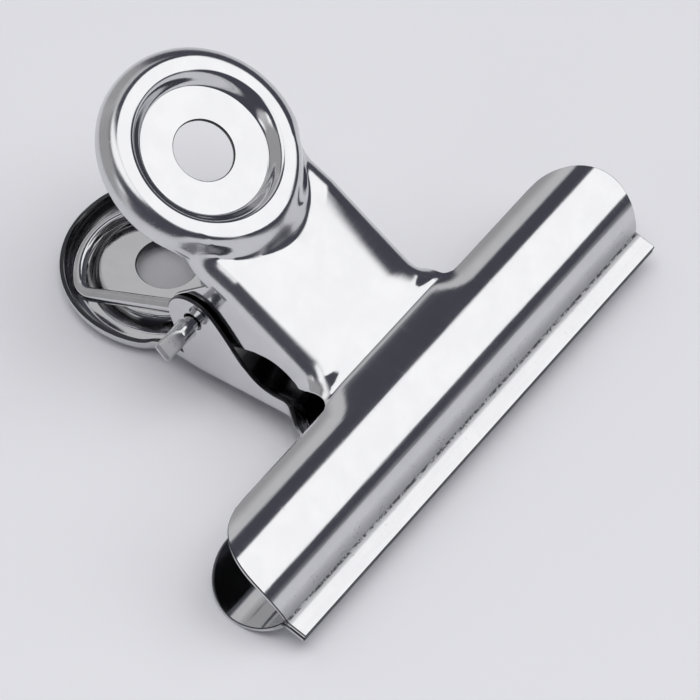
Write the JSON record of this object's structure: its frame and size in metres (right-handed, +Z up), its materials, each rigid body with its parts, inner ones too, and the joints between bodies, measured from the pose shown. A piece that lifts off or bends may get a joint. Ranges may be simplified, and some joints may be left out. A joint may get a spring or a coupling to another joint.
{
  "type": "spring clip",
  "caption": "Wide spring clip of bright plated steel: long rolled jaws that hold paper, round dished thumb handles with hanging holes, a wire pin and a torsion spring between the plates.",
  "frame": {"origin": "on the table under the middle of the clip as it lies, lower handle and lower jaw down", "axes": "+X towards the lips, +Y along the jaw and the pin, +Z up from the table"},
  "size_m": [0.0644, 0.0774, 0.0375],
  "materials": {
    "upper_plate": "bright nickel plating with fine scratches",
    "lower_plate": "bright nickel plating with fine scratches",
    "pivot_pin": "bright drawn wire, pinched ends",
    "torsion_spring": "bright drawn spring wire"
  },
  "bodies": {
    "lower": {"lower_plate": "lower_plate", "torsion_spring": "torsion_spring"},
    "upper": {"upper_plate": "upper_plate"},
    "pin": {"pivot_pin": "pivot_pin"}
  },
  "joints": [
    {"name": "jaw_hinge", "type": "hinge", "parent": "lower", "child": "upper", "pos_m": [-0.00418, 0, 0.01317], "axis": [0, -1, 0], "range_deg": [0, 60], "stiffness_Nm_per_rad": 0.4, "springref_deg": -34.38, "deforming": ["torsion_spring"]},
    {"name": "pin_turn", "type": "hinge", "parent": "lower", "child": "pin", "pos_m": [-0.00418, 0, 0.01317], "axis": [0, 1, 0], "continuous": true}
  ]
}
